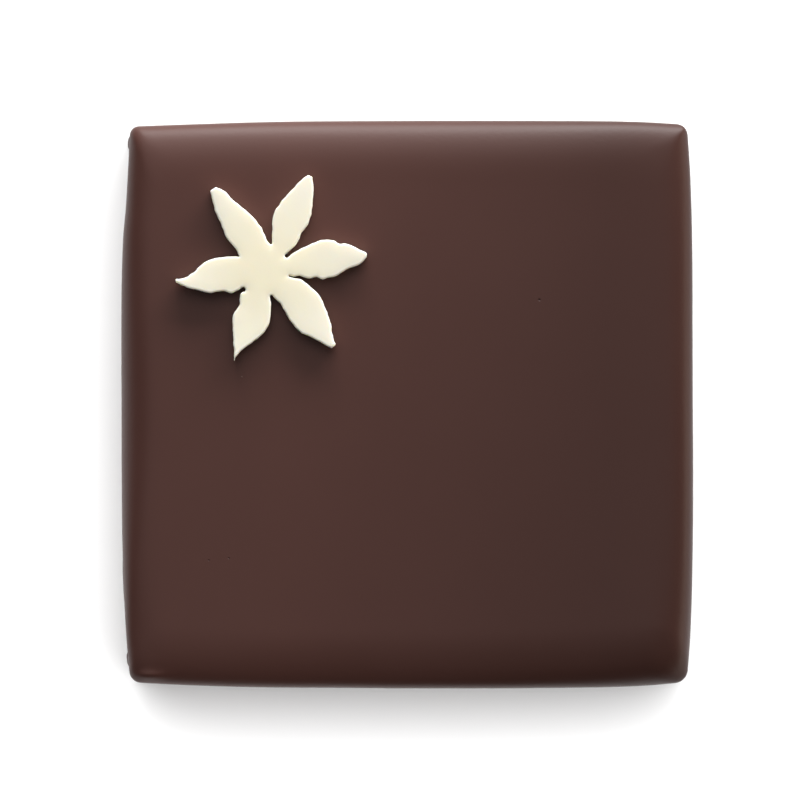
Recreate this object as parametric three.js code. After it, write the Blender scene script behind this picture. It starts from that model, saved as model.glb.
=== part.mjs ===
// A square ganache chocolate with a dark coating, and on its top a white chocolate flower with six
// petals.
//
// Millimetres, +Z up. The origin is the middle of the flat underside, +Y is the back edge and +X the
// right one. The chocolate is one solid, because the coating hides the ganache all round. The flower is a
// second solid: a thin plaque, cut from a sheet, that lies on the coating near the back left corner.

import * as THREE from "three";
import { mergeVertices } from "three/addons/utils/BufferGeometryUtils.js";

// ---------------------------------------------------------------- sizes of the chocolate

const HEIGHT = 10; // from the underside to the middle of the top

// The corners before they are rounded, anticlockwise from the front left one, and how far from each
// corner the rounding starts.
const CORNERS = [
  { x: -15.03, y: -15.08, rounding: 0.7 },
  { x: 15.19, y: -15.08, rounding: 0.75 },
  { x: 15.19, y: 15.22, rounding: 0.75 },
  { x: -15.03, y: 15.11, rounding: 0.6 },
];

// The coating is thickest along the middle of each side, so the sides bulge between the corners. Each
// side starts at the corner of the same number. "bulge" is how far it stands out of the straight line
// between its corners, at even steps along it. "shoulder" is how far in from the side its rounded upper
// edge reaches before the top is flat.
const SIDES = [
  { name: "front", bulge: [0, 0.19, 0.29, 0.31, 0.34, 0.35, 0.32, 0.26, 0], shoulder: 2.9 },
  { name: "right", bulge: [0, 0.22, 0.31, 0.33, 0.3, 0.28, 0.27, 0.18, 0], shoulder: 2 },
  { name: "back", bulge: [0, 0.13, 0.21, 0.24, 0.25, 0.24, 0.19, 0.1, 0], shoulder: 3.1 },
  { name: "left", bulge: [0, 0.17, 0.43, 0.47, 0.46, 0.44, 0.38, 0.26, 0], shoulder: 2 },
];
const [FRONT, RIGHT, BACK, LEFT] = [0, 1, 2, 3];
const WIDTH = CORNERS[1].x - CORNERS[0].x; // between the corners

// The sides' section, from the underside up to where the shoulder starts. The foot is the lip of coating
// that runs out round the underside, the waist is the hollow above it, and the belly is where the piece
// is widest. "inset" is the distance inside the belly, and "wave" the share of the foot's waves that a
// level takes.
const SECTION = [
  { at: "underside", z: 0, inset: 0.42, wave: 0.6 },
  { at: "under the foot", z: 0.13, inset: 0.17, wave: 0.9 },
  { at: "foot", z: 0.42, inset: 0.04, wave: 1 },
  { at: "over the foot", z: 0.76, inset: 0.06, wave: 0.8 },
  { at: "above the foot", z: 1.05, inset: 0.12, wave: 0.35 },
  { at: "waist", z: 1.6, inset: 0.17, wave: 0 },
  { at: "above the waist", z: 3.2, inset: 0.08, wave: 0 },
  { at: "below the belly", z: 4.6, inset: 0.02, wave: 0 },
  { at: "belly", z: 5.6, inset: 0, wave: 0 },
  { at: "above the belly", z: 7.2, inset: 0, wave: 0 },
];

// The foot isn't cut straight: these waves run round it. "count" is how many of each go round the piece.
const FOOT_WAVES = [
  { count: 5, size: 0.035, phase: 1.1 },
  { count: 11, size: 0.025, phase: 0.4 },
  { count: 19, size: 0.018, phase: 2.3 },
];

// Where the foot runs out further on the left side: a small drop of coating close to each corner, and a
// long low swell between them.
const SWELLS = [
  { y: 14.1, out: 0.13, halfLength: 0.5 },
  { y: -7.6, out: 0.16, halfLength: 3.9 },
  { y: -13.9, out: 0.2, halfLength: 0.45 },
];

// The shoulder's section is a superellipse: short and steep at the side, long and shallow on the top.
const SHOULDER = { down: 1.4, flatness: 3, roundness: 2 };
const CROWN = 0.06; // how much the middle of the top stands above the shoulders' inner edges

// ---------------------------------------------------------------- sizes of the flower

const FLOWER_AT = { x: -7.59, y: 7.32 }; // the middle of the flower, on the top
const PLAQUE = 0.85; // thickness of the sheet that it was cut from
const SEAT_GAP = 0.02; // between the flower's underside and the coating
const EDGE_ROUND = 0.13; // radius of its cut upper edge
const HUB = 1.8; // radius of the middle, where the petals are one and don't curl

// A petal's half-widths are measured square to its axis at these shares of its length.
const STATIONS = [0.35, 0.5, 0.65, 0.8, 0.92, 1];

// The petals, anticlockwise from the right-hand one: direction of the tip in degrees, length from the
// middle, and half-widths to the left and the right of the axis, seen from the middle. The notch is the
// point where the cut between this petal and the next one ends. "lift" is how far the tip curls up.
const PETALS = [
  {
    name: "right",
    angle: 8.5,
    length: 5.46,
    left: [0.83, 1.07, 1.13, 0.79, 0.4, 0.09],
    right: [0.67, 0.84, 0.88, 0.58, 0.42, 0.09],
    notch: { angle: 36.5, radius: 1.28 },
    lift: 0.12,
  },
  {
    name: "back right",
    angle: 65.3,
    length: 5.6,
    left: [0.59, 0.92, 0.85, 0.6, 0.37, 0.12],
    right: [0.85, 0.9, 0.9, 0.66, 0.37, 0.12],
    notch: { angle: 82, radius: 1.45 },
    lift: 0.1,
  },
  {
    name: "back left",
    angle: 123.3,
    length: 5.27,
    left: [0.8, 0.87, 0.73, 0.59, 0.38, 0.24],
    right: [0.96, 0.96, 0.76, 0.52, 0.4, 0.13],
    notch: { angle: 154, radius: 1.65 },
    lift: 0.14,
  },
  {
    name: "left",
    angle: 186.8,
    length: 4.99,
    left: [0.91, 0.87, 0.87, 0.59, 0.34, 0.09],
    right: [0.94, 0.96, 0.84, 0.33, 0.07, 0.09],
    notch: { angle: 224, radius: 1.65 },
    lift: 0.3,
  },
  {
    name: "front left",
    angle: 250.5,
    length: 5.24,
    left: [0.86, 1.06, 0.9, 0.39, 0.03, 0.04],
    right: [0.87, 0.87, 0.77, 0.45, 0.2, 0.04],
    notch: { angle: 279, radius: 1.46 },
    lift: 0.16,
  },
  {
    name: "front right",
    angle: 311,
    length: 5.49,
    left: [1.13, 1.23, 1.04, 0.71, 0.32, 0.15],
    right: [0.66, 0.84, 0.86, 0.56, 0.32, 0.15],
    notch: { angle: 344.6, radius: 1.27 },
    lift: 0.18,
  },
];

// ---------------------------------------------------------------- how finely the surfaces are divided

const SIDE_STEPS = 24;
const CORNER_STEPS = 5;
const SHOULDER_STEPS = 8;
const TOP_RINGS = 3;
const NOTCH_STEPS = 3; // from the flower's middle to a notch
const PETAL_STEPS = 12; // from a notch to the tip
const ACROSS_PETAL = [0.35, 0.65]; // where the rows between a petal's two rims run, as shares of its width
const WELD = 1e-4; // points closer together than this are one point

// ---------------------------------------------------------------- shared helpers

const lerp = THREE.MathUtils.lerp;
const sum = (numbers) => numbers.reduce((total, number) => total + number, 0);

// The point at an angle in degrees and a distance from the middle.
function polar(angle, radius) {
  const turn = THREE.MathUtils.degToRad(angle);
  return new THREE.Vector2(radius * Math.cos(turn), radius * Math.sin(turn));
}

// Joins points that coincide, and leaves out the triangles that this closes up.
function solidGeometry(points, triangles) {
  const geometry = new THREE.BufferGeometry();
  geometry.setAttribute("position", new THREE.Float32BufferAttribute(points.flat(), 3));
  geometry.setIndex(triangles.flat());
  const merged = mergeVertices(geometry, WELD);
  const index = Array.from(merged.index.array);
  const kept = triangles
    .map((_, i) => index.slice(3 * i, 3 * i + 3))
    .filter(([a, b, c]) => a !== b && b !== c && c !== a);
  merged.setIndex(kept.flat());
  merged.computeVertexNormals();
  return merged;
}

// ---------------------------------------------------------------- the chocolate's outline, seen from above

const BULGES = SIDES.map(
  ({ bulge }) => new THREE.SplineCurve(bulge.map((out, i) => new THREE.Vector2(i / (bulge.length - 1), out))),
);

// How far a level stands inside the widest outline on each of the four sides. "across" is its share of
// the way over the shoulders.
function sideInsets({ inset, across }) {
  return SIDES.map(({ shoulder }) => inset + across * shoulder);
}

function insetCorner(number, insets) {
  const { x, y } = CORNERS[number];
  return new THREE.Vector2(
    x > 0 ? x - insets[RIGHT] : x + insets[LEFT],
    y > 0 ? y - insets[BACK] : y + insets[FRONT],
  );
}

// A point on one bulging side, "along" it from its first corner at 0 to its second one at 1.
function sidePoint(side, along, insets) {
  const start = insetCorner(side, insets);
  const end = insetCorner((side + 1) % CORNERS.length, insets);
  const out = BULGES[side].getPoint(along).y;
  const length = start.distanceTo(end);
  const outward = new THREE.Vector2(end.y - start.y, start.x - end.x).divideScalar(length);
  return start.clone().lerp(end, along).addScaledVector(outward, out);
}

// One closed ring: each side in turn, then the rounded corner at its end. Every ring has the same number
// of points, so that rings at different heights can be joined point to point.
function outline(level) {
  const insets = sideInsets(level);
  const ring = [];
  for (let side = 0; side < SIDES.length; side++) {
    const next = (side + 1) % SIDES.length;
    const cutStart = CORNERS[side].rounding / WIDTH;
    const cutEnd = CORNERS[next].rounding / WIDTH;
    for (let i = 0; i < SIDE_STEPS; i++) {
      const even = i / SIDE_STEPS;
      const crowded = (1 - Math.cos(Math.PI * even)) / 2;
      const along = (even + crowded) / 2; // somewhat closer together towards the corners
      ring.push(sidePoint(side, lerp(cutStart, 1 - cutEnd, along), insets));
    }
    const before = sidePoint(side, 1 - cutEnd, insets);
    const after = sidePoint(next, cutEnd, insets);
    const round = new THREE.QuadraticBezierCurve(before, insetCorner(next, insets), after);
    for (let i = 0; i < CORNER_STEPS; i++) ring.push(round.getPoint(i / CORNER_STEPS));
  }
  return ring;
}

// How far the foot stands out of its mean line at a point of the outline, "round" its share of the way
// round.
function footWave(point, round) {
  const turn = 2 * Math.PI * round;
  const waves = FOOT_WAVES.map(({ count, size, phase }) => size * Math.sin(count * turn + phase));
  const swells = SWELLS.map(({ y, out, halfLength }) => out * Math.exp(-(((point.y - y) / halfLength) ** 4)));
  const onLeft = point.x < CORNERS[0].x + CORNERS[0].rounding;
  return sum(waves) + (onLeft ? sum(swells) : 0);
}

// ---------------------------------------------------------------- the chocolate's shoulder and top

// How far the shoulder has dropped below the top, "out" being 0 at its inner edge and 1 at the side.
function shoulderDrop(out) {
  return SHOULDER.down * (1 - (1 - out ** SHOULDER.flatness) ** (1 / SHOULDER.roundness));
}

function shoulderLevels() {
  const levels = [];
  for (let i = 0; i <= SHOULDER_STEPS; i++) {
    const out = Math.cos((Math.PI / 2) * (i / SHOULDER_STEPS)) ** (2 / SHOULDER.flatness);
    levels.push({ z: HEIGHT - CROWN - shoulderDrop(out), inset: 0, across: 1 - out, wave: 0 });
  }
  return levels;
}

// The coating's height at a point of the top.
function topHeight(x, y) {
  const toSides = [y - CORNERS[0].y, CORNERS[1].x - x, CORNERS[2].y - y, x - CORNERS[3].x];
  const outs = SIDES.map(({ shoulder }, side) => THREE.MathUtils.clamp(1 - toSides[side] / shoulder, 0, 1));
  const fromMiddle = Math.max(Math.abs(x), Math.abs(y)) / (WIDTH / 2);
  return HEIGHT - CROWN * fromMiddle ** 2 - shoulderDrop(Math.max(...outs));
}

function chocolateGeometry() {
  const levels = [...SECTION.map((level) => ({ ...level, across: 0 })), ...shoulderLevels()];
  const rings = levels.map((level) =>
    outline(level).map((p, i, all) => {
      const reach = 1 + (level.wave * footWave(p, i / all.length)) / (WIDTH / 2);
      return [p.x * reach, p.y * reach, level.z];
    }),
  );
  const edge = rings[rings.length - 1];
  for (let ring = 1; ring <= TOP_RINGS; ring++) {
    const share = 1 - ring / (TOP_RINGS + 1);
    rings.push(edge.map(([x, y]) => [x * share, y * share, HEIGHT - CROWN * share ** 2]));
  }

  const count = edge.length;
  const points = rings.flat();
  const triangles = [];
  for (let ring = 0; ring + 1 < rings.length; ring++) {
    for (let i = 0; i < count; i++) {
      const a = ring * count + i;
      const b = ring * count + ((i + 1) % count);
      triangles.push([a, b, b + count], [a, b + count, a + count]);
    }
  }
  const under = points.push([0, 0, 0]) - 1;
  const over = points.push([0, 0, HEIGHT]) - 1;
  const last = (rings.length - 1) * count;
  for (let i = 0; i < count; i++) {
    const next = (i + 1) % count;
    triangles.push([under, next, i], [over, last + i, last + next]);
  }
  return solidGeometry(points, triangles);
}

// ---------------------------------------------------------------- the flower

// One edge of a petal from the flower's middle to its tip: straight to the notch, then a smooth curve
// through the half-widths. "hand" is 1 for the left edge and -1 for the right one.
function petalEdge(petal, notch, hand) {
  const square = polar(petal.angle + 90 * hand, 1);
  const widths = hand > 0 ? petal.left : petal.right;
  const sides = STATIONS.map((share, i) =>
    polar(petal.angle, share * petal.length).addScaledVector(square, widths[i]),
  );
  const cut = polar(notch.angle, notch.radius);
  const shared = [];
  for (let i = 0; i < NOTCH_STEPS; i++) shared.push(cut.clone().multiplyScalar(i / NOTCH_STEPS));
  return [...shared, ...new THREE.SplineCurve([cut, ...sides]).getPoints(PETAL_STEPS)];
}

// Rows of points across a petal from its right edge to its left one, one row for each step along it.
function petalRows(petal, notchBefore) {
  const left = petalEdge(petal, petal.notch, 1);
  const right = petalEdge(petal, notchBefore, -1);
  return right.map((start, i) => {
    const width = Math.max(start.distanceTo(left[i]), 4 * EDGE_ROUND);
    const rim = EDGE_ROUND / width;
    return [0, rim, ...ACROSS_PETAL, 1 - rim, 1].map((share) => start.clone().lerp(left[i], share));
  });
}

function distanceToOutline(point, ring) {
  const distances = ring.map((start, i) => {
    const edge = ring[(i + 1) % ring.length].clone().sub(start);
    const along = edge.dot(point.clone().sub(start)) / Math.max(edge.lengthSq(), WELD);
    return point.distanceTo(start.clone().addScaledVector(edge, THREE.MathUtils.clamp(along, 0, 1)));
  });
  return Math.min(...distances);
}

// The heights of the flower's underside and upper face at a point, measured from its own middle.
function flowerHeights(point, { length, lift }, ring) {
  const curl = Math.max(0, (point.length() - HUB) / (length - HUB)) ** 2;
  const low = topHeight(FLOWER_AT.x + point.x, FLOWER_AT.y + point.y) + SEAT_GAP + lift * curl;
  const rim = Math.max(0, EDGE_ROUND - distanceToOutline(point, ring));
  return { low, high: low + PLAQUE - EDGE_ROUND + Math.sqrt(EDGE_ROUND ** 2 - rim ** 2) };
}

// Each petal is its rows of points twice over, below and above, split into triangles alike, with a wall
// round it beyond the notches.
function flowerGeometry() {
  const petals = PETALS.map((petal, i) => ({
    ...petal,
    rows: petalRows(petal, PETALS[(i + PETALS.length - 1) % PETALS.length].notch),
  }));
  // The outline, anticlockwise: out along each petal's right edge and back along its left one.
  const ring = petals.flatMap(({ rows }) => {
    const free = rows.slice(NOTCH_STEPS);
    return [...free.map((row) => row[0]), ...free.map((row) => row[row.length - 1]).reverse()];
  });

  const points = [];
  const triangles = [];
  const add = (point, z) => points.push([FLOWER_AT.x + point.x, FLOWER_AT.y + point.y, z]) - 1;
  const quad = (a, b, c, d) => triangles.push([a, b, c], [a, c, d]);
  for (const petal of petals) {
    const low = petal.rows.map((row) => row.map((p) => add(p, flowerHeights(p, petal, ring).low)));
    const high = petal.rows.map((row) => row.map((p) => add(p, flowerHeights(p, petal, ring).high)));
    const tip = petal.rows.length - 1;
    const left = petal.rows[0].length - 1;
    for (let i = 0; i < tip; i++) {
      for (let j = 0; j < left; j++) {
        quad(high[i][j], high[i + 1][j], high[i + 1][j + 1], high[i][j + 1]);
        quad(low[i][j], low[i][j + 1], low[i + 1][j + 1], low[i + 1][j]);
      }
    }
    for (let i = NOTCH_STEPS; i < tip; i++) {
      quad(low[i][0], low[i + 1][0], high[i + 1][0], high[i][0]);
      quad(low[i + 1][left], low[i][left], high[i][left], high[i + 1][left]);
    }
    for (let j = 0; j < left; j++) quad(low[tip][j], low[tip][j + 1], high[tip][j + 1], high[tip][j]);
  }
  return solidGeometry(points, triangles);
}

// ---------------------------------------------------------------- the finished piece

function piece(name, geometry, material) {
  const mesh = new THREE.Mesh(geometry, material);
  mesh.name = name;
  return mesh;
}

const darkChocolate = new THREE.MeshStandardMaterial({ color: 0x4d3632, roughness: 0.42, metalness: 0 });
const whiteChocolate = new THREE.MeshStandardMaterial({ color: 0xf3edd4, roughness: 0.6, metalness: 0 });

const ganacheChocolate = new THREE.Group();
ganacheChocolate.add(
  piece("chocolate", chocolateGeometry(), darkChocolate),
  piece("flower", flowerGeometry(), whiteChocolate),
);

export default ganacheChocolate;
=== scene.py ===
# %% [markdown]
# # A ganache chocolate with a white flower
#
# The real thing is a square of ganache, cut from a slab and run under a curtain of melted dark chocolate,
# which sets as a thin shell. A maker then lays a small flower on top, cut from a sheet of white
# chocolate.
#
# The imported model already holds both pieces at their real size. Here each is built again with a finer
# surface, gets its finish, and is lit and photographed from straight above. Sizes are in millimetres
# until a piece is done.

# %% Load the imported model
import math

import bpy
import numpy as np
from mathutils import Matrix, Vector
from mathutils.geometry import delaunay_2d_cdt


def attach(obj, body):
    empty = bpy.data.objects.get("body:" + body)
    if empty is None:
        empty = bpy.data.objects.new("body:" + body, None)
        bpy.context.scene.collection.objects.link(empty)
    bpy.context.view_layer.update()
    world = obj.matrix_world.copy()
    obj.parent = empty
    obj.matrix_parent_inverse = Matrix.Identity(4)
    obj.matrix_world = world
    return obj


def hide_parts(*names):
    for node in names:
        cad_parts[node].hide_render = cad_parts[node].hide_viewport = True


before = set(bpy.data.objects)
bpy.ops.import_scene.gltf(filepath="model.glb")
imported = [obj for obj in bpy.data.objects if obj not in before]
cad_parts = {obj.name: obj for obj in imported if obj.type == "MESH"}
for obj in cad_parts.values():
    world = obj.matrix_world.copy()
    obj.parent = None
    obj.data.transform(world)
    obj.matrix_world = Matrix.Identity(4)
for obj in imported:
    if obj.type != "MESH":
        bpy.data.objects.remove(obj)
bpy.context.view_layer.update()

MM = 0.001  # one millimetre in metres, which Blender works in
SEED = 7  # starts the random numbers, so that every run makes the same piece


def in_mm(lengths, digits=2):
    """Lengths in metres as rounded millimetres, for printing."""
    return [round(length / MM, digits) for length in lengths]


# %% [markdown]
# ## Formulas in nodes
#
# A shape or a colour that follows a rule can be written as a tree of math nodes. Wiring each node by hand
# is slow to read, so this small class stands for one number in a tree: adding or multiplying two of them
# adds a math node, and a formula reads like ordinary arithmetic. The same class serves the geometry tree
# and the materials.

# %% A number in a node tree
class Value:
    """One number in a node tree. Arithmetic on it adds math nodes."""

    def __init__(self, tree, socket):
        self.tree = tree
        self.socket = socket

    def math(self, operation, *others):
        node = self.tree.nodes.new("ShaderNodeMath")
        node.operation = operation
        for slot, value in zip(node.inputs, (self, *others)):
            feed(self.tree, value, slot)
        return Value(self.tree, node.outputs[0])

    def __add__(self, other):
        return self.math("ADD", other)

    def __sub__(self, other):
        return self.math("SUBTRACT", other)

    def __rsub__(self, other):
        return self * -1 + other

    def __mul__(self, other):
        return self.math("MULTIPLY", other)

    def __truediv__(self, other):
        return self.math("DIVIDE", other)

    def __pow__(self, other):
        return self.math("POWER", other)

    def __abs__(self):
        return self.math("ABSOLUTE")

    __radd__ = __add__
    __rmul__ = __mul__

    def clamp(self):
        return self.math("MAXIMUM", 0).math("MINIMUM", 1)

    def between(self, at_0, at_1):
        """at_0 where this number is 0, at_1 where it is 1."""
        return self * (at_1 - at_0) + at_0


def feed(tree, value, slot):
    """Puts a number, a colour, a socket or a Value into a node's input."""
    if isinstance(value, Value):
        value = value.socket
    if isinstance(value, bpy.types.NodeSocket):
        tree.links.new(value, slot)
    else:
        slot.default_value = value


def add_node(tree, kind, settings=None, **inputs):
    """Adds a node, sets its properties and fills the inputs that are named, with _ for a space."""
    node = tree.nodes.new(kind)
    for name, value in (settings or {}).items():
        setattr(node, name, value)
    for name, value in inputs.items():
        feed(tree, value, node.inputs[name.replace("_", " ")])
    return node


def curve_node(tree, value, points):
    """A smooth curve through points (where, height), with where running from 0 to 1."""
    node = tree.nodes.new("ShaderNodeFloatCurve")
    node.mapping.use_clip = False
    places = node.mapping.curves[0].points
    while len(places) < len(points):
        places.new(0.5, 0.5)
    for place, point in zip(places, points):
        place.location = point
        place.handle_type = "AUTO_CLAMPED"
    node.mapping.update()
    feed(tree, value, node.inputs["Value"])
    return Value(tree, node.outputs["Value"])


print("formulas can now be written as nodes")

# %% [markdown]
# ## The coated square
#
# The shell is thickest along the middle of each side, so the sides bulge, and it ran down to a small foot
# round the underside while it was soft. The upper edges are rounded. The ganache inside was cut with
# straight wires, so the roundings of two sides meet in a crease at each corner.
#
# It could be a cube with bevels, or a profile swept round an outline. A bevel can't bulge, though, and a
# sweep crosses itself at tight corners. A rule does better: every point of a finely divided cube moves to
# a place worked out from named sizes. Geometry Nodes run that rule, and leave clean four-sided faces all
# over the surface.

# %% Sizes of the coated square
# Where the sides would stand if they ran straight from corner to corner. The back edge is slightly askew.
LEFT, RIGHT, FRONT = -15.03, 15.19, -15.05
BACK_AT_LEFT, BACK_AT_RIGHT = 15.11, 15.22

SIZES = {
    "Height": 10,
    "Crown": 0.06,  # the middle of the top stands this much above the shoulders' inner edges
    "Front shoulder": 2.9,  # how far in from the side the rounded upper edge reaches
    "Back shoulder": 3.1,
    "Left shoulder": 2.1,
    "Right shoulder": 2,
    "Right shoulder at the back": 2.6,
    "Foot unevenness": 0.45,
    "Swell": 0.13,  # height of a low ridge near the front left corner
}

# The rounded upper edge sinks gently at first, and then rolls over into the side. Both change round the
# piece, so each has a value for the middle of the front, back, left and right, and one for each corner.
SIDE_NAMES = ("front", "back", "left", "right")
SIDES = {
    "Sag": (0.5, 0.08, 0.14, 0.08),  # how far the gentle part sinks
    "Roll": (0.55, 1.15, 1.55, 1),  # how far the roll reaches down the side
    "Roll tightness": (14, 2.9, 2.2, 4),  # 2 is an ellipse; more keeps the roll close to the side
}
CORNER_NAMES = ("front left", "front right", "back left", "back right")
CORNERS = {
    "Sag": (0.4, 0.66, 0.1, 0.08),
    "Roll": (0.55, 0.75, 1.05, 0.88),
    "Roll tightness": (9, 7, 3.2, 3.8),
    "Corner rounding": (0.64, 0.72, 0.52, 0.64),  # how far from the corner its rounding starts
    "Crease rounding": (0.8, 1.5, 0.55, 0.1),  # the same for the crease that runs in from it
    "Crease fading": (0.3, 0.3, 0.5, 1),  # how much more the crease is rounded at its inner end
}

# How far each side stands out of the straight line between its corners, at even steps from left to right
# or from front to back.
BULGES = {
    "front": [0, 0.18, 0.28, 0.3, 0.33, 0.33, 0.31, 0.25, 0],
    "back": [0, 0.12, 0.22, 0.25, 0.25, 0.24, 0.22, 0.18, 0],
    "left": [0, 0.29, 0.43, 0.47, 0.48, 0.49, 0.45, 0.2, 0],
    "right": [0, 0.23, 0.31, 0.33, 0.31, 0.3, 0.29, 0.21, 0],
}

# The side's section: height, how far it stands inside the belly, and how much of the foot's unevenness it
# takes.
SECTION = [
    (0, 0.42, 0.6),
    (0.13, 0.17, 0.9),
    (0.42, 0.04, 1),
    (0.76, 0.06, 0.8),
    (1.05, 0.12, 0.35),
    (1.6, 0.17, 0),
    (3.2, 0.08, 0),
    (4.6, 0.02, 0),
    (5.6, 0, 0),
    (7.2, 0, 0),
    (8.54, 0, 0),
]
print(f"{len(SIZES)} sizes hold everywhere, {len(SIDES)} change by side and {len(CORNERS)} by corner")

# %% [markdown]
# Each point of the cube carries three numbers: how far it is across and along, from -1 to 1, and how far
# up, from 0 to 1. The tree starts by reading them. Every size in the first three tables above becomes a
# named input, so it can be changed in Blender without touching a rule.

# %% Start the tree
TOP_SQUARES = 128  # faces along each side of the cube
SIDE_LEVELS = 44

sizes = dict(SIZES)
for names, table in ((SIDE_NAMES, SIDES), (CORNER_NAMES, CORNERS)):
    for label, values in table.items():
        sizes.update({f"{label} {name}": value for name, value in zip(names, values)})

square_tree = bpy.data.node_groups.new("coated_square", "GeometryNodeTree")
for label, value in sizes.items():
    socket = square_tree.interface.new_socket(label, in_out="INPUT", socket_type="NodeSocketFloat")
    socket.default_value = value
square_tree.interface.new_socket("Geometry", in_out="OUTPUT", socket_type="NodeSocketGeometry")
group_input = square_tree.nodes.new("NodeGroupInput")
size = {label: Value(square_tree, group_input.outputs[label]) for label in sizes}

cube = add_node(
    square_tree, "GeometryNodeMeshCube", Size=(2, 2, 2),
    Vertices_X=TOP_SQUARES + 1, Vertices_Y=TOP_SQUARES + 1, Vertices_Z=SIDE_LEVELS + 1,
)
position = square_tree.nodes.new("GeometryNodeInputPosition")
split = add_node(square_tree, "ShaderNodeSeparateXYZ", Vector=position.outputs[0])
across, along, up = (Value(square_tree, output) for output in split.outputs)
up = (up + 1) / 2
print(f"the tree has {len(sizes)} named sizes")

# %% [markdown]
# The edges aren't alike: the front one sags and then turns sharply, and the others are rounder. So a
# point takes each of those sizes from the sides and the corners that it is near, blended by how near they
# are. That way no size jumps anywhere, and no step shows in the surface.

# %% Sizes that change round the piece
MIDDLE = 0.64  # the share of the top's faces that make its flat middle; the rest make the shoulders
SIDE_HOLD = 6  # the higher, the nearer to the corners a side keeps its own values
TINY = 1e-6  # keeps the middle of the top from a division by zero

share_x = (across / MIDDLE).math("MAXIMUM", -1).math("MINIMUM", 1)
share_y = (along / MIDDLE).math("MAXIMUM", -1).math("MINIMUM", 1)
half_x, half_y = share_x * 0.5 + 0.5, share_y * 0.5 + 0.5
square_x, square_y = share_x * share_x, share_y * share_y
much_across, much_along = abs(across) ** SIDE_HOLD, abs(along) ** SIDE_HOLD
to_left_or_right = much_across / (much_across + much_along + TINY)


def from_corners(label):
    """A size blended evenly between the four corners."""
    front_left, front_right, back_left, back_right = (size[f"{label} {name}"] for name in CORNER_NAMES)
    at_front, at_back = half_x.between(front_left, front_right), half_x.between(back_left, back_right)
    return half_y.between(at_front, at_back)


def round_the_piece(label):
    """A size that each side has in its middle, and each corner at the corner."""
    front, back, left, right = (size[f"{label} {side}"] for side in SIDE_NAMES)
    from_sides = to_left_or_right.between(half_y.between(front, back), half_x.between(left, right))
    return (square_x * square_y).between(from_sides, from_corners(label))


print("a point can ask for the size that holds where it is")

# %% [markdown]
# The rounded upper edge has two parts. The sag grows with the square of how far out a point is. The roll
# is a superellipse, a rounding whose tightness is one of the sizes, and it takes the edge over into the
# side. Under the edge the side is divided into levels, which are closer together at the foot.

# %% How high each point stands
LEVEL_CROWDING = 1.6  # above 1, the levels are closer together at the foot


def shoulder_inset(place):
    """How far a point is from the side: 1 on the flat middle, 0 at the side itself."""
    quarter_turn = ((abs(place) - MIDDLE) / (1 - MIDDLE)).clamp() * (math.pi / 2)
    return 1 - quarter_turn.math("SINE")


in_x, in_y = shoulder_inset(across), shoulder_inset(along)
in_edge = in_x.math("MINIMUM", in_y)
out_edge = 1 - in_edge
rolled = 1 - (1 - out_edge ** round_the_piece("Roll tightness")).clamp().math("SQRT")
shoulder_depth = round_the_piece("Sag") * out_edge ** 2 + round_the_piece("Roll") * rolled
from_middle = square_x + square_y - square_x * square_y
surface = size["Height"] - size["Crown"] * from_middle - shoulder_depth
z = surface * up ** LEVEL_CROWDING
widths = [width for label, width in SIZES.items() if "shoulder" in label]
print(f"the shoulders are {min(widths)} to {max(widths)} mm wide")

# %% [markdown]
# The larger of "across" and "along" says which edge a point belongs to, and the changeover is the
# corner's crease. Near it, a point moves diagonally inward by a quarter of the square of how near it is.
# With a quarter, both edges run exactly diagonally where they meet, so no kink is left there.

# %% How far in each point stands
CORNER_HOLD = 24  # the higher, the nearer to the side the crease takes on the corner's own rounding
FADING_RATE = 2  # the crease has its inner end's rounding from half-way in

section_top = SECTION[-1][0]
share_z = (z / section_top).clamp()
inset = curve_node(square_tree, share_z, [(height / section_top, inside) for height, inside, _ in SECTION])
foot = curve_node(square_tree, share_z, [(height / section_top, uneven) for height, _, uneven in SECTION])

right_shoulder = half_y.between(size["Right shoulder"], size["Right shoulder at the back"])
shoulder_x = half_x.between(size["Left shoulder"], right_shoulder)
shoulder_y = half_y.between(size["Front shoulder"], size["Back shoulder"])
from_corner = (in_x - in_edge) * shoulder_x + (in_y - in_edge) * shoulder_y
fading = (in_edge * FADING_RATE).clamp() ** 2
crease = from_corners("Crease rounding") + from_corners("Crease fading") * fading
corner_rounding = (out_edge ** CORNER_HOLD).between(crease, from_corners("Corner rounding"))
near = 1 - (from_corner / corner_rounding).clamp()
corner_inset = corner_rounding * near * near / 4
print(len(SECTION), "levels describe the side's section")

# %% [markdown]
# Now the four sides, each with its bulge. On the left the coating made a foot with a small drip near each
# corner and a low lip between them. A drip fades in from the belly, stands out most just above the floor,
# and has a flat top with soft ends. Where a point is along a side comes from the sides before they bulge.

# %% The four sides and the drips
DRIPS = [(14.3, 0.18, 0.46), (-9.7, 0.13, 1.9), (-13.85, 0.16, 0.48)]  # y, how far out, half the length
DRIP_EDGE, DRIP_TOP = 0.25, 1.1  # heights at which a drip stands out most, and not at all
DRIP_FLATNESS = 4  # 2 is a bell; more gives it a flatter top and steeper ends


def even_points(heights):
    """Points for a curve node, with the heights at even steps from 0 to 1."""
    return [(i / (len(heights) - 1), height) for i, height in enumerate(heights)]


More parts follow.
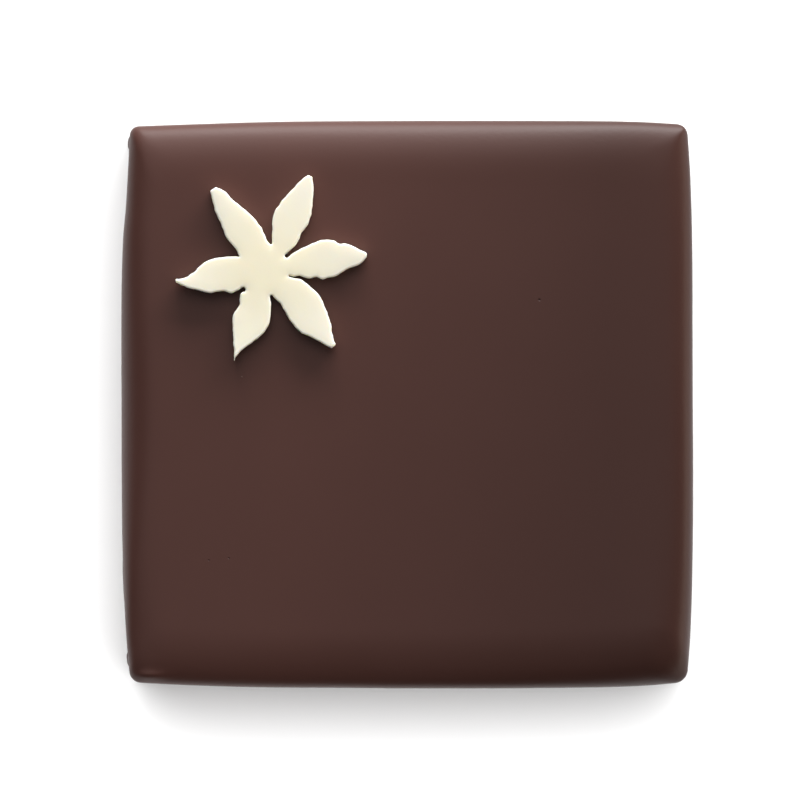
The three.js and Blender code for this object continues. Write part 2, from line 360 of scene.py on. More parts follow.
flat_x = half_x.between(in_x * size["Left shoulder"] + LEFT, RIGHT - in_x * right_shoulder)
part_x = (flat_x - LEFT) / (RIGHT - LEFT)
back = part_x.between(BACK_AT_LEFT, BACK_AT_RIGHT)
flat_y = half_y.between(in_y * size["Front shoulder"] + FRONT, back - in_y * size["Back shoulder"])
part_y = (flat_y - FRONT) / (back - FRONT)
bulge = {
    side: curve_node(square_tree, part_x if side in ("front", "back") else part_y, even_points(heights))
    for side, heights in BULGES.items()
}
y = half_y.between(
    in_y * size["Front shoulder"] + inset + corner_inset + FRONT - bulge["front"],
    back - in_y * size["Back shoulder"] - inset - corner_inset + bulge["back"],
)

drip_height = (z / DRIP_EDGE).clamp() * ((DRIP_TOP - z) / (DRIP_TOP - DRIP_EDGE)).clamp()
dripped, drip_out = 0, 0
for at, reach, half_length in DRIPS:
    here = (abs((y - at) / half_length) ** DRIP_FLATNESS * -1).math("EXPONENT") * drip_height
    dripped, drip_out = here + dripped, here * reach + drip_out
left_inset = inset * (1 - dripped) - drip_out
x = half_x.between(
    in_x * size["Left shoulder"] + left_inset + corner_inset + LEFT - bulge["left"],
    RIGHT - in_x * right_shoulder - inset - corner_inset + bulge["right"],
)
print(f"the sides are {RIGHT - LEFT:.2f} mm apart at the corners, with {len(DRIPS)} drips on the left one")

# %% [markdown]
# Last come the foot, which is never quite even where it set, and a low ridge of coating near the front
# left corner. The tree ends by moving the cube's points and giving them their material.

# %% The uneven foot and the end of the tree
FOOT_WAVES = [(5, 0.035, 1.1), (11, 0.025, 0.4), (19, 0.018, 2.3)]  # how many round the piece, size, phase
FOOT_START = math.pi * 3 / 4  # the waves are counted from the front left corner
SWELL_AT, SWELL_REACH = (-14.0, -14.7), (0.8, 0.24)  # where the low ridge is, and how far it reaches
SWELL_RISE = 10  # it has its full height a tenth of the shoulder's width in from the side

turn = y.math("ARCTAN2", x) + FOOT_START
wave = sum((turn * count + phase).math("SINE") * height for count, height, phase in FOOT_WAVES)
half_width = (RIGHT - LEFT) / 2  # turns a wave's millimetres into a share of how far out the foot is
stretch = wave * foot * size["Foot unevenness"] * (1 / half_width) + 1

from_swell = ((x - SWELL_AT[0]) / SWELL_REACH[0]) ** 2 + ((y - SWELL_AT[1]) / SWELL_REACH[1]) ** 2
z = z + (from_swell * -1).math("EXPONENT") * size["Swell"] * (in_edge * SWELL_RISE).clamp()

dark_chocolate = bpy.data.materials.new("dark_chocolate")
place = add_node(square_tree, "ShaderNodeCombineXYZ", X=x * stretch, Y=y * stretch, Z=z).outputs[0]
moved = add_node(square_tree, "GeometryNodeSetPosition", Geometry=cube.outputs["Mesh"], Position=place)
real = add_node(square_tree, "GeometryNodeRealizeInstances", Geometry=moved.outputs[0])
coated = add_node(square_tree, "GeometryNodeSetMaterial", Geometry=real.outputs[0], Material=dark_chocolate)
group_output = square_tree.nodes.new("NodeGroupOutput")
square_tree.links.new(coated.outputs[0], group_output.inputs[0])
print(f"the tree of the coated square has {len(square_tree.nodes)} nodes")

# %% [markdown]
# A tree runs on an object that carries it as a modifier. Its result is taken as a plain mesh, so that
# nothing is left to work out later, and turned from millimetres into metres. The piece stays at the
# origin, with its place in its mesh. It rides on the one body there is, and stands for a node of the
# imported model.

# %% Make the coated square
def mesh_from_tree(name, tree, sizes):
    """Runs a geometry tree with these sizes and returns its result as a plain mesh, in metres."""
    holder = bpy.data.objects.new(name + "_tree", bpy.data.meshes.new(name + "_tree"))
    bpy.context.scene.collection.objects.link(holder)
    nodes = holder.modifiers.new("tree", "NODES")
    nodes.node_group = tree
    sockets = {item.name: item.identifier for item in tree.interface.items_tree if item.in_out == "INPUT"}
    for label, value in sizes.items():
        nodes[sockets[label]] = float(value)
    depsgraph = bpy.context.evaluated_depsgraph_get()
    mesh = bpy.data.meshes.new_from_object(holder.evaluated_get(depsgraph), depsgraph=depsgraph)
    bpy.data.objects.remove(holder)
    mesh.name = name
    mesh.transform(Matrix.Scale(MM, 4))
    mesh.shade_smooth()
    return mesh


def place_piece(mesh, node):
    """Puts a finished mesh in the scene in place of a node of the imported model."""
    piece = bpy.data.objects.new(mesh.name, mesh)
    bpy.context.scene.collection.objects.link(piece)
    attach(piece, "root")
    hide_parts(node)
    print(f"{piece.name}: {len(mesh.polygons)} faces, {in_mm(piece.dimensions)} mm")
    return piece


square_mesh = mesh_from_tree("coated_square", square_tree, sizes)
coated_square = place_piece(square_mesh, "chocolate")

# %% [markdown]
# ## The flower
#
# The flower was cut from a thin sheet with a small hand-made cutter, so its six petals all differ, their
# edges are a little ragged, and the cuts between them end in small round holes. The petals have curled up
# slightly since.
#
# It could be a curve that is extruded and bevelled, but a bevel breaks where cuts are this narrow. Here
# the outline is worked out first, then points are laid inside it at set distances from the edge and
# joined into triangles. A point's height comes from its true distance to the edge, so the rounded rim
# never folds over.

# %% Sizes of the flower
# Each petal, anticlockwise from the right-hand one: direction of the tip in degrees, length, half-widths
# to the left and the right of its axis as seen from the middle, and how far the tip curls up.
PETALS = [
    (8.5, 5.46, [0.83, 1.07, 1.13, 0.79, 0.4, 0.09], [0.67, 0.84, 0.88, 0.58, 0.42, 0.09], 0.08),
    (65.3, 5.6, [0.59, 0.92, 0.85, 0.6, 0.37, 0.12], [0.85, 0.9, 0.9, 0.66, 0.37, 0.12], 0.03),
    (123.3, 5.27, [0.8, 0.87, 0.73, 0.59, 0.38, 0.24], [0.96, 0.96, 0.76, 0.52, 0.4, 0.13], 0.03),
    (186.8, 4.99, [0.91, 0.87, 0.87, 0.59, 0.34, 0.09], [0.94, 0.96, 0.84, 0.33, 0.07, 0.09], 0.22),
    (250.5, 5.24, [0.86, 1.06, 0.9, 0.39, 0.03, 0.04], [0.87, 0.87, 0.77, 0.45, 0.2, 0.04], 0.16),
    (311, 5.49, [1.13, 1.23, 1.04, 0.71, 0.32, 0.15], [0.66, 0.84, 0.86, 0.56, 0.32, 0.15], 0.18),
]
STATIONS = [0.35, 0.5, 0.65, 0.8, 0.92, 1]  # where the half-widths are measured, as shares of the length

# The end of the cut between each petal and the next: direction, distance from the middle, and radius of
# the hole.
NOTCHES = [
    (36.5, 1.28, 0.1),
    (82, 1.45, 0.07),
    (154, 1.72, 0.06),
    (219, 1.72, 0.16),
    (279, 1.46, 0.08),
    (344.6, 1.27, 0.06),
]

# Where a petal's edge swells, or is hollow where the number is negative: the petal's place in the list, 1
# for its left edge or -1 for its right one, where along the petal as a share of its length, how far, and
# half how long.
TOUCHES = [
    (0, 1, 0.75, -0.11, 0.05),
    (0, 1, 0.85, 0.05, 0.04),
    (0, -1, 0.24, 0.06, 0.04),
    (0, -1, 0.3, -0.05, 0.03),
    (0, -1, 0.39, 0.05, 0.03),
    (0, -1, 0.46, -0.05, 0.03),
    (0, -1, 0.54, 0.08, 0.04),
    (1, -1, 0.45, -0.06, 0.05),
    (1, -1, 0.57, 0.06, 0.05),
    (2, -1, 0.27, -0.07, 0.05),
    (3, 1, 0.42, 0.11, 0.05),
    (3, 1, 0.57, -0.05, 0.05),
    (4, -1, 0.32, 0.08, 0.03),
    (4, -1, 0.44, -0.09, 0.05),
    (4, -1, 0.57, 0.06, 0.06),
    (4, 1, 0.98, -0.07, 0.03),
    (5, 1, 0.28, 0.07, 0.04),
    (5, 1, 0.41, -0.05, 0.05),
    (5, -1, 0.7, 0.04, 0.04),
]
print(f"{len(PETALS)} petals, the longest {max(petal[1] for petal in PETALS)} mm from the middle")

# %% [markdown]
# The outline runs up one edge of a petal, back down the other, and round the hole at the end of the cut
# to the next petal. Each edge is a smooth curve through its few half-widths, and the touches are added to
# it.

# %% Draw the petals' edges
STEPS_ON_EDGE = 12  # from each measured place to the next
HOLE_TURNS = np.linspace(-75, -285, 9)  # degrees round a hole, from one side of the cut to the other


def polar(angle, radius):
    """The point at an angle in degrees and a distance from the middle."""
    return radius * np.array([math.cos(math.radians(angle)), math.sin(math.radians(angle))])


def curve_through(points, steps):
    """A smooth curve through points, with this many steps from each to the next."""
    points = np.array([points[0], *points, points[-1]])
    share = np.linspace(0, 1, steps, endpoint=False)[:, None]
    spans = []
    for before, start, end, after in zip(points, points[1:], points[2:], points[3:]):
        spans.append(
            (2 * share**3 - 3 * share**2 + 1) * start
            + (3 * share**2 - 2 * share**3) * end
            + (share**3 - 2 * share**2 + share) * (end - before) / 2
            + (share**3 - share**2) * (after - start) / 2
        )
    return np.vstack([*spans, points[-1:]])


def petal_edge(number, cut_end, hand):
    """A petal's edge from the cut to the tip. hand is 1 for its left edge and -1 for its right one."""
    angle, length, left, right, _ = PETALS[number]
    widths = left if hand > 0 else right
    sides = [
        polar(angle, share * length) + hand * width * polar(angle + 90, 1)
        for share, width in zip(STATIONS, widths)
    ]
    edge = curve_through([cut_end, *sides], STEPS_ON_EDGE)
    along = edge @ polar(angle, 1) / length
    for petal, side, at, reach, half_length in TOUCHES:
        if (petal, side) == (number, hand):
            swell = reach * np.exp(-(((along - at) / half_length) ** 2))
            edge = edge + swell[:, None] * hand * polar(angle + 90, 1)
    return edge


def hole(notch):
    """The points round the end of a cut, from the petal before it to the petal after it."""
    angle, distance, radius = notch
    return np.array([polar(angle, distance) + polar(angle + turn, radius) for turn in HOLE_TURNS])


holes = [hole(notch) for notch in NOTCHES]
edges = []
for i in range(len(PETALS)):
    edges.append(petal_edge(i, holes[i - 1][-1], -1))
    edges.append(petal_edge(i, holes[i][0], 1)[::-1])
    edges.append(holes[i][1:-1])
print(f"{len(edges)} edges and holes make the outline")

# %% [markdown]
# A hand-made cutter and a brittle sheet leave the edge ragged. So the outline is divided evenly, and its
# points are moved in or out by waves of random lengths and by a few small burrs.

# %% Divide the outline and make it ragged
STEP = 0.07  # from one point of the outline to the next
WAVES, WAVE_SIZE = 12, 0.0035
FEWEST, MOST = 20, 130  # how many times a wave goes up and down round the flower
BURRS, BURR_LOW, BURR_HIGH = 14, -0.02, 0.035
BURR_REACH = 1.3  # in steps of the outline


def divide_evenly(ring, step):
    """Points at even steps round a closed ring."""
    closed = np.vstack([ring, ring[:1]])
    lengths = np.linalg.norm(np.diff(closed, axis=0), axis=1)
    at = np.concatenate([[0], np.cumsum(lengths)])
    count = round(at[-1] / step)
    wanted = np.arange(count) * at[-1] / count
    return np.column_stack([np.interp(wanted, at, closed[:, i]) for i in (0, 1)])


def outward(ring):
    """The direction square to the ring at each of its points, away from its inside."""
    along = np.roll(ring, -1, axis=0) - np.roll(ring, 1, axis=0)
    along /= np.linalg.norm(along, axis=1)[:, None]
    return np.column_stack([along[:, 1], -along[:, 0]])


outline = divide_evenly(np.vstack(edges), STEP)
points_round = len(outline)
random = np.random.RandomState(SEED)
around = np.linspace(0, 2 * math.pi, points_round, endpoint=False)
ragged = np.zeros(points_round)
for count in random.randint(FEWEST, MOST, WAVES):
    ragged += WAVE_SIZE * np.sin(count * around + random.uniform(0, 2 * math.pi))
for spot in random.randint(0, points_round, BURRS):
    half_way = points_round / 2
    steps_away = np.abs((np.arange(points_round) - spot + half_way) % points_round - half_way)
    ragged += random.uniform(BURR_LOW, BURR_HIGH) * np.exp(-((steps_away / BURR_REACH) ** 2))
outline += outward(outline) * ragged[:, None]
print(f"the outline has {points_round} points and is {points_round * STEP:.0f} mm long")

# %% [markdown]
# Now the outline is filled. Rows of points follow it at set distances, closer together near the rim,
# which will be rounded, and an even grid fills the rest. Blender joins them into well-shaped triangles.

# %% Fill the outline with triangles
# Each row's distance from the edge, and 1 for a point opposite every point of the outline, 2 for every
# other one.
ROWS = [(0.02, 1), (0.045, 1), (0.08, 1), (0.13, 2), (0.2, 2), (0.29, 3)]
CLEARANCE = 0.96  # a point is left out if another part of the outline is nearer than this share of its row
GRID = 0.17  # from one point of the grid to the next
INSIDE_ONLY, SAME_PLACE = 1, 1e-5  # what Blender keeps, and how close two points count as one


def distance_to_outline(points):
    """How far each point is from the nearest part of the outline."""
    start = outline[None]
    edge = np.roll(outline, -1, axis=0)[None] - start
    share = ((points[:, None] - start) * edge).sum(2) / (edge**2).sum(2)
    nearest = start + edge * np.clip(share, 0, 1)[..., None]
    return np.sqrt(((points[:, None] - nearest) ** 2).sum(2)).min(1)


def grid_points():
    """Points of an even grid of triangles over the whole flower."""
    rise = GRID * math.sqrt(3) / 2
    low, high = outline.min(0), outline.max(0)
    rows = []
    for i, y in enumerate(np.arange(low[1], high[1], rise)):
        xs = np.arange(low[0] + (i % 2) * GRID / 2, high[0], GRID)
        rows.append(np.column_stack([xs, np.full(len(xs), y)]))
    return np.vstack(rows)


def is_inside(points):
    """True for each point from which a line to the right crosses the outline an odd number of times."""
    x, y = points[:, :1], points[:, 1:]
    x1, y1 = outline[:, 0], outline[:, 1]
    x2, y2 = np.roll(x1, -1), np.roll(y1, -1)
    crosses = (y1 > y) != (y2 > y)
    with np.errstate(divide="ignore", invalid="ignore"):
        where = x1 + (y - y1) / (y2 - y1) * (x2 - x1)
    return (crosses & (where > x)).sum(1) % 2 == 1


inner = []
inward = -outward(outline)
for distance, every in ROWS:
    row = (outline + inward * distance)[::every]
    inner.append(row[distance_to_outline(row) > CLEARANCE * distance])
grid = grid_points()
inner.append(grid[is_inside(grid) & (distance_to_outline(grid) > ROWS[-1][0] + GRID / 2)])
inner = np.vstack(inner)
inner = inner[is_inside(inner)]

loose_points = [Vector(point) for point in np.vstack([outline, inner])]
outline_edges = [(i, (i + 1) % points_round) for i in range(points_round)]
flat_points, _, triangles, *_ = delaunay_2d_cdt(loose_points, outline_edges, [], INSIDE_ONLY, SAME_PLACE)
flat_points = np.array([tuple(point) for point in flat_points])
to_edge = distance_to_outline(flat_points)
print(f"{len(triangles)} triangles fill the outline, from {len(flat_points)} points")

# %% [markdown]
# The same triangles make the underside and the upper face. Both follow the curl, which grows towards each
# tip with the square of the distance. The upper face also falls a little towards its edge, and ends in
# the rounded rim.

# %% Raise the flower
FLOWER_AT = np.array([-7.59, 7.32])  # the middle of the flower, on the top
SEAT = 9.997  # height of its underside
SHEET = 0.85  # thickness of the white chocolate
HUB = 1.8  # radius of the middle, where the petals are one and don't curl
RIM_ROUND = 0.08  # radius of the cut upper edge
PILLOW, PILLOW_WIDTH = 0.02, 0.6  # how much the upper face falls towards its edge, and over how wide a strip


def curl_up(points):
    """How far each point is lifted by the curl of its petal."""
    angles = np.degrees(np.arctan2(points[:, 1], points[:, 0])) % 360
    radii = np.linalg.norm(points, axis=1)
    ends = [notch[0] for notch in NOTCHES]
    lift = np.zeros(len(points))
    for i, (_, length, _, _, tip_lift) in enumerate(PETALS):
        if i == 0:
            mine = (angles > ends[-1]) | (angles <= ends[0])
        else:
            mine = (angles > ends[i - 1]) & (angles <= ends[i])
        curl = np.clip((radii - HUB) / (length - HUB), 0, None) ** 2
        lift[mine] = (tip_lift * curl)[mine]
    return lift


underside = SEAT + curl_up(flat_points)
in_rim = np.clip(RIM_ROUND - to_edge, 0, None)
rounding = RIM_ROUND - np.sqrt(RIM_ROUND**2 - in_rim**2)
pillow = PILLOW * np.clip(1 - to_edge / PILLOW_WIDTH, 0, None) ** 2
upper_face = underside + SHEET - rounding - pillow
print(f"the underside rises {underside.max() - SEAT:.2f} mm at the tip that curls most")

# %% [markdown]
# A wall joins the two faces. It stands on the edges that belong to one triangle only, and its points are
# moved in and out at random, because a cut through white chocolate is never smooth. Each point also keeps
# its distance to the edge, as an attribute that the material will read.

# %% Join the faces with a wall
WALL_LEVELS = 5
WALL_ROUGHNESS = 0.014  # how far a point of the wall stands in or out at most

xy = flat_points + FLOWER_AT
face_points = len(xy)
points = [np.column_stack([xy, upper_face]), np.column_stack([xy, underside])]
faces = [tuple(face) for face in triangles]
faces += [tuple(i + face_points for i in reversed(face)) for face in triangles]

used = {(face[i - 1], face[i]) for face in triangles for i in range(len(face))}
border = [edge for edge in used if edge[::-1] not in used]
follows = dict(border)
loop = [border[0][0]]
while follows[loop[-1]] != loop[0]:
    loop.append(follows[loop[-1]])

rough = np.random.RandomState(SEED)
face_out = outward(flat_points[loop])
rows = [loop]
for level in range(1, WALL_LEVELS):
    share = level / WALL_LEVELS
    shift = rough.uniform(-WALL_ROUGHNESS, WALL_ROUGHNESS, len(loop))
    heights = upper_face[loop] + share * (underside[loop] - upper_face[loop])
    first = sum(len(p) for p in points)
    rows.append([first + i for i in range(len(loop))])
    points.append(np.column_stack([xy[loop] + face_out * shift[:, None], heights]))
rows.append([i + face_points for i in loop])
for upper, lower in zip(rows, rows[1:]):
    for i in range(len(loop)):
        faces.append((upper[i - 1], lower[i - 1], lower[i], upper[i]))

points = np.vstack(points)
petal_mesh = bpy.data.meshes.new("white_flower")
petal_mesh.from_pydata((points * MM).tolist(), [], faces)
attribute = petal_mesh.attributes.new("to_edge", "FLOAT", "POINT")
distances = np.concatenate([to_edge, np.zeros(len(points) - face_points)])
attribute.data.foreach_set("value", distances.astype(np.float32))
petal_mesh.validate()
petal_mesh.shade_smooth()
white_flower = place_piece(petal_mesh, "flower")

# %% [markdown]
# ## The finish both chocolates share
#
# Set chocolate is never quite even: fat crystals give it a fine grain, and slow cooling leaves broad,
# faint clouds in its colour and gloss. Both pieces have this, at different strengths, so it is one shader
# node group. It gives out a cloud value around 0.5 and a grain height, and each material decides what to
# do with them.

# %% Grain and clouds of set chocolate
def shader_group(name, inputs, outputs):
    """An empty node group. Its inputs are numbers, apart from one called Vector."""
    tree = bpy.data.node_groups.new(name, "ShaderNodeTree")
    for label, value in inputs.items():
        kind = "NodeSocketVector" if label == "Vector" else "NodeSocketFloat"
        socket = tree.interface.new_socket(label, in_out="INPUT", socket_type=kind)
        if value is not None:
            socket.default_value = value
    for label in outputs:
        tree.interface.new_socket(label, in_out="OUTPUT", socket_type="NodeSocketFloat")
    return tree, tree.nodes.new("NodeGroupInput"), tree.nodes.new("NodeGroupOutput")


set_chocolate, grain_in, grain_out = shader_group(
    "set_chocolate", {"Vector": None, "Cloud size": 8, "Grain size": 0.25}, ["Clouds", "Grain"])
for label, size_label in (("Clouds", "Cloud size"), ("Grain", "Grain size")):
    one_over_size = Value(set_chocolate, grain_in.outputs[size_label]) ** -1
    noise = add_node(
        set_chocolate, "ShaderNodeTexNoise",
        Vector=grain_in.outputs["Vector"], Scale=one_over_size, Detail=3.0, Roughness=0.55)
    feed(set_chocolate, noise.outputs["Fac"], grain_out.inputs[label])
print(set_chocolate.name, "gives out", [socket.name for socket in grain_out.inputs if socket.name])

# %% [markdown]
# Both materials start in the same way: a Principled shader, and the place on the piece in millimetres,
# read from Object coordinates. So a pattern keeps its real scale, and stays on the piece from wherever it
# is seen.

# %% Helpers for the materials
def start_material(material):
    """Gives a material its shader, and returns its tree, the shader and the place in millimetres."""
    material.use_nodes = True
    tree = material.node_tree
    shader = tree.nodes["Principled BSDF"]
    coordinates = tree.nodes.new("ShaderNodeTexCoord")
    place = add_node(
        tree, "ShaderNodeVectorMath", {"operation": "SCALE"},
        Vector=coordinates.outputs["Object"], Scale=1 / MM)
    return tree, shader, place.outputs[0]


def add_group(tree, group, **inputs):
    """Adds a node group, fills the inputs that are named, and returns its outputs by name."""
    node = add_node(tree, "ShaderNodeGroup", {"node_tree": group}, **inputs)
    return {output.name: Value(tree, output) for output in node.outputs}


def blend(tree, factor, at_0, at_1):
    """A colour between two others."""
    node = add_node(tree, "ShaderNodeMix", {"data_type": "RGBA"})
    feed(tree, factor, node.inputs["Factor"])
    for name, colour in (("A", at_0), ("B", at_1)):
        slot = next(i for i in node.inputs if i.name == name and i.type == "RGBA")
        feed(tree, (*colour, 1) if isinstance(colour, tuple) else colour, slot)
    return next(o for o in node.outputs if o.type == "RGBA")


def bump(tree, height):
    """The normal of a surface that stands this many millimetres out."""
    return add_node(tree, "ShaderNodeBump", Height=height, Distance=MM, Strength=1.0).outputs[0]


def distance_from(tree, place, point):
    """How far the surface is from a point, in millimetres."""
    node = add_node(tree, "ShaderNodeVectorMath", {"operation": "DISTANCE"}, Vector=place)
    node.inputs[1].default_value = point
    return Value(tree, node.outputs["Value"])


print("the materials have their helpers")

# %% [markdown]
# ## Dark chocolate
#
# The shell is dark chocolate with a satin gloss. Its colour is almost black-brown in itself: what makes
# it look milky is a broad soft reflection, so the base colour is kept dark and the gloss does the rest. A
# few pinholes and specks lie where bubbles burst and crumbs stuck, and the pinholes are darkened with
# painted shade. The sides dried against moving air, and have a coarser grain.
#
# The coat also darkens from left to right, and this darkening is painted shade. A light could do that, but
# this piece needs its lights for the bright edges, so the shade is mixed into the colour by the place on the
# piece.

# %% Finish of the coated square
DARK, DARK_CLOUD = (0.068, 0.0245, 0.0181), (0.0752, 0.0276, 0.0208)
SHADE, SHADE_SHARE = (0.011, 0.0015, 0.0), 0.45  # the painted shade's colour, mixed in at the right, and how much of it
SHADE_FROM, SHADE_WIDTH = -7, 18  # from left to right, where it starts and how wide it spreads
SATIN, SATIN_CLOUD = 0.42, 0.08  # roughness, and how much the clouds add to it
SIDE_FROM, SIDE_WIDTH = 13.8, 1.4  # how far from the middle the grain gets coarser, and over what width
TOP_GRAIN, SIDE_GRAIN = 0.0015, 0.01  # heights of the grain
TOP = 9.96  # height at which the pinholes and specks lie
PINHOLES = [(7.16, 5.70, 0.09), (-10.76, -8.42, 0.06), (-9.67, -8.31, 0.06)]  # x, y, radius
# the pinholes' dark colour is painted shade in the holes; the holes themselves are only a bump
PINHOLE_SHADE, PINHOLE_DEPTH = (0.012, 0.005, 0.004), 0.03
SPECKS = [(-8.97, 1.52, 0.06), (-8.37, -14.12, 0.07)]
SPECK_COLOUR, SPECK_HEIGHT = (0.16, 0.10, 0.08), 0.02


def spots(tree, place, marks):
    """1 at the middle of each mark on the top, and 0 away from them."""
    return sum(1 - (distance_from(tree, place, (*mark[:2], TOP)) / mark[2]).clamp() for mark in marks)


tree, shader, place = start_material(dark_chocolate)
effect = add_group(tree, set_chocolate, Vector=place, Cloud_size=7.0, Grain_size=0.22)
split = add_node(tree, "ShaderNodeSeparateXYZ", Vector=place)
x, y, z = (Value(tree, output) for output in split.outputs)
pinholes, specks = spots(tree, place, PINHOLES), spots(tree, place, SPECKS)
# painted shade: 0 at the left, growing to 1 at the right
to_right = ((x - SHADE_FROM) / SHADE_WIDTH).clamp()
near_side = ((abs(x).math("MAXIMUM", abs(y)) - SIDE_FROM) / SIDE_WIDTH).clamp()

coat = blend(tree, effect["Clouds"], DARK, DARK_CLOUD)
# mixes in the painted shade from left to right
coat = blend(tree, to_right * SHADE_SHARE, coat, SHADE)
# painted shade in the pinholes
coat = blend(tree, pinholes.clamp(), coat, PINHOLE_SHADE)
coat = blend(tree, specks.clamp(), coat, SPECK_COLOUR)
feed(tree, coat, shader.inputs["Base Color"])
feed(tree, effect["Clouds"] * SATIN_CLOUD + SATIN, shader.inputs["Roughness"])
grain = effect["Grain"] * near_side.between(TOP_GRAIN, SIDE_GRAIN)
height = grain - pinholes * PINHOLE_DEPTH + specks * SPECK_HEIGHT
feed(tree, bump(tree, height), shader.inputs["Normal"])
shader.inputs["IOR"].default_value = 1.37
print(dark_chocolate.name, "has", len(PINHOLES), "pinholes and", len(SPECKS), "specks")

# %% [markdown]
# ## White chocolate
#
# White chocolate is cocoa butter, milk and sugar. Light goes a little way into it, so it looks soft, and
# it is creamy yellow, a little paler towards the thin tips. Along the cut it is paler and slightly rougher,
# in a narrow rim. The material reads each point's distance to the edge for that rim.

# %% Finish of the flower
CREAM, CREAM_CLOUD = (0.845, 0.79, 0.592), (0.865, 0.815, 0.638)
TIP_COLOUR, RIM_COLOUR = (0.85, 0.82, 0.7), (0.87, 0.845, 0.735)
TIP_FROM, TIP_WIDTH = 1, 4  # distance from the middle at which it starts to get paler, and over what width
RIM_WIDTH, RIM_SHARE = 0.2, 0.8  # how wide the paler rim is, and how much of its colour the edge has
MATT, RIM_ROUGHNESS = 0.5, 0.15  # roughness, and what the rim adds to it
FACE_GRAIN, RIM_GRAIN = 0.002, 0.008

white_chocolate = bpy.data.materials.new("white_chocolate")
petal_mesh.materials.append(white_chocolate)
tree, shader, place = start_material(white_chocolate)
effect = add_group(tree, set_chocolate, Vector=place, Cloud_size=2.5, Grain_size=0.12)
to_edge_node = add_node(tree, "ShaderNodeAttribute", {"attribute_name": "to_edge"})
edge_distance = Value(tree, to_edge_node.outputs["Fac"])
rim = 1 - (edge_distance / RIM_WIDTH).clamp()
to_tip = ((distance_from(tree, place, (*FLOWER_AT, SEAT + SHEET)) - TIP_FROM) / TIP_WIDTH).clamp()

cream = blend(tree, to_tip, blend(tree, effect["Clouds"], CREAM, CREAM_CLOUD), TIP_COLOUR)
feed(tree, blend(tree, rim * RIM_SHARE, cream, RIM_COLOUR), shader.inputs["Base Color"])
feed(tree, rim * RIM_ROUGHNESS + MATT, shader.inputs["Roughness"])
feed(tree, bump(tree, effect["Grain"] * rim.between(FACE_GRAIN, RIM_GRAIN)), shader.inputs["Normal"])
shader.inputs["Subsurface Weight"].default_value = 0.4
shader.inputs["Subsurface Radius"].default_value = (1, 0.8, 0.5)
shader.inputs["Subsurface Scale"].default_value = 0.4 * MM
shader.inputs["IOR"].default_value = 1.45
print(white_chocolate.name, "has a paler rim", RIM_WIDTH, "mm wide")

# %% [markdown]
# ## Floor and surroundings
#
# The photograph is a plain catalogue picture, white all round the piece. A floor that is lit until it turns
# pure white would throw too much light on the sides. So it is a little darker to every ray that doesn't
# come from the camera. The surroundings are white to the camera alone as well. To the chocolate they are
# dim, and brighter overhead, along the horizon and most of all high at the back.

# %% Floor
FLOOR_HALF = 1.6  # from the middle to the edge, in metres
FLOOR_DROP = 0.02 * MM  # the floor lies this far under the piece, so that the two don't share a plane
FLOOR_SEEN, FLOOR_UNSEEN = (0.9, 0.9, 0.9), (0.76, 0.76, 0.76)  # colour to the camera, and to other rays

around_floor = ((-1, -1), (1, -1), (1, 1), (-1, 1))
floor_corners = [(x * FLOOR_HALF, y * FLOOR_HALF, -FLOOR_DROP) for x, y in around_floor]
floor_mesh = bpy.data.meshes.new("floor")
floor_mesh.from_pydata(floor_corners, [], [(0, 1, 2, 3)])
floor = bpy.data.objects.new("floor", floor_mesh)
bpy.context.scene.collection.objects.link(floor)

white_table = bpy.data.materials.new("white_table")
floor_mesh.materials.append(white_table)
tree, shader, _ = start_material(white_table)
seen = Value(tree, tree.nodes.new("ShaderNodeLightPath").outputs["Is Camera Ray"])
feed(tree, blend(tree, seen, FLOOR_UNSEEN, FLOOR_SEEN), shader.inputs["Base Color"])
shader.inputs["Roughness"].default_value = 0.9
print("the floor is", 2 * FLOOR_HALF, "m wide")

# %% Surroundings
ALL_ROUND = 0.08  # light that comes from everywhere
OVERHEAD, OVERHEAD_NARROWNESS = 0.3, 6
GLOW, GLOW_NARROWNESS = 3.0, 14
HORIZON, HORIZON_NARROWNESS = 0.4, 4
CORNER_SHADE = 0.05  # what is missing at the front right
DIAGONAL = 0.707  # brings the sum of two equal parts of a direction back to 1

world = bpy.data.worlds.new("studio")
bpy.context.scene.world = world
world.use_nodes = True
tree = world.node_tree
direction = add_node(
    tree, "ShaderNodeSeparateXYZ", Vector=tree.nodes.new("ShaderNodeTexCoord").outputs["Generated"])
to_right, to_back, to_top = (Value(tree, output) for output in direction.outputs)


def toward(right, back, top):
    """1 straight in one direction, falling to 0 square to it."""
    return (to_top * top + to_back * back + to_right * right).clamp()


overhead = toward(right=-0.14, back=0.2, top=0.97) ** OVERHEAD_NARROWNESS
glow = toward(right=-0.05, back=0.588, top=0.809) ** GLOW_NARROWNESS
horizon = (1 - abs(to_top)) ** HORIZON_NARROWNESS
front_right = ((to_right - to_back) * DIAGONAL).clamp() ** 2
strength = ALL_ROUND + overhead * OVERHEAD + glow * GLOW + horizon * HORIZON - front_right * CORNER_SHADE
seen = Value(tree, tree.nodes.new("ShaderNodeLightPath").outputs["Is Camera Ray"])
tree.nodes["Background"].inputs["Color"].default_value = (1, 1, 1, 1)
feed(tree, seen.between(strength, 1), tree.nodes["Background"].inputs["Strength"])
bpy.context.scene.view_settings.view_transform = "Standard"
print("the surroundings are brightest high at the back, with a strength of", GLOW)

# %% [markdown]
# ## Lights
#
# A window low behind the piece draws the bright line along the back edge and throws the flower's shadow
# forward. A weaker, warmer light low at the right brings out the right edge. Both are linked to the two
# pieces alone. The floor has a light of its own, high at the back right, so that it turns pure white and
# only a short soft shadow shows in front. Power is in watts, and a light's size and distance in metres.

# %% Lights
AIM_HEIGHT = 8  # the lights and the camera aim at the middle of the piece at this height


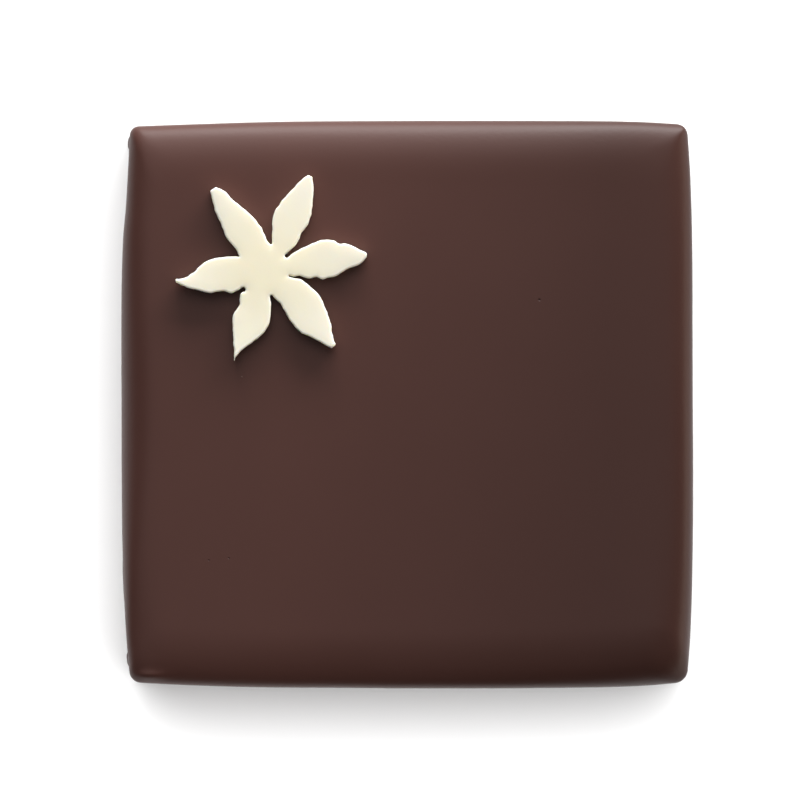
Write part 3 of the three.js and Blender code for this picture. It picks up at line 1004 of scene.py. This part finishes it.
def soft_light(name, turn, rise, distance, width, height, watts):
    """A rectangular light that faces the piece. turn is clockwise from the back, rise above the horizon."""
    light = bpy.data.lights.new(name, "AREA")
    light.shape = "RECTANGLE"
    light.size, light.size_y = width, height
    light.energy = watts
    lamp = bpy.data.objects.new(name, light)
    bpy.context.scene.collection.objects.link(lamp)
    turn, rise = math.radians(turn), math.radians(rise)
    to_lamp = Vector((math.sin(turn) * math.cos(rise), math.cos(turn) * math.cos(rise), math.sin(rise)))
    lamp.location = Vector((0, 0, AIM_HEIGHT * MM)) + to_lamp * distance
    lamp.rotation_euler = to_lamp.to_track_quat("Z", "Y").to_euler()
    lamp.visible_camera = False
    return lamp


def shine_on(lamp, *objects):
    """Links a light to these objects, so that it lights nothing else."""
    lit = bpy.data.collections.new("lit_by_" + lamp.name)
    for lit_object in objects:
        lit.objects.link(lit_object)
    lamp.light_linking.receiver_collection = lit


window = soft_light("window", turn=13, rise=17, distance=0.11, width=0.12, height=0.045, watts=0.235)
shine_on(window, coated_square, white_flower)
side_light = soft_light("side_light", turn=95, rise=14, distance=0.2, width=0.3, height=0.06, watts=0.17)
side_light.data.color = (1, 0.85, 0.7)
shine_on(side_light, coated_square, white_flower)
table_light = soft_light("table_light", turn=40, rise=76.5, distance=0.5, width=0.7, height=0.5, watts=5.7)
shine_on(table_light, floor)
print("lights:", window.name, side_light.name, table_light.name)

# %% [markdown]
# ## Camera
#
# The photograph looks straight down, and shows nothing of the sides, so it was taken from far away. The
# camera stands a metre and a half above the piece, and its lens is worked out from how many pixels a
# millimetre takes.

# %% Camera
PIXELS = 800
PIXELS_PER_MM = 18.42  # in the photograph, at the height of the outline
CAMERA_HEIGHT = 1500  # above the height that it aims at
CAMERA_AT = (-0.391, 0.269)  # x and y, which put the piece in the frame where the photograph has it

camera = bpy.data.objects.new("camera", bpy.data.cameras.new("camera"))
bpy.context.scene.collection.objects.link(camera)
camera.location = Vector((*CAMERA_AT, AIM_HEIGHT + CAMERA_HEIGHT)) * MM
camera.data.lens = camera.data.sensor_width * CAMERA_HEIGHT / (PIXELS / PIXELS_PER_MM)
camera.data.clip_end = 10
bpy.context.scene.camera = camera
print(f"lens {camera.data.lens:.0f} mm, {PIXELS / PIXELS_PER_MM:.1f} mm across")
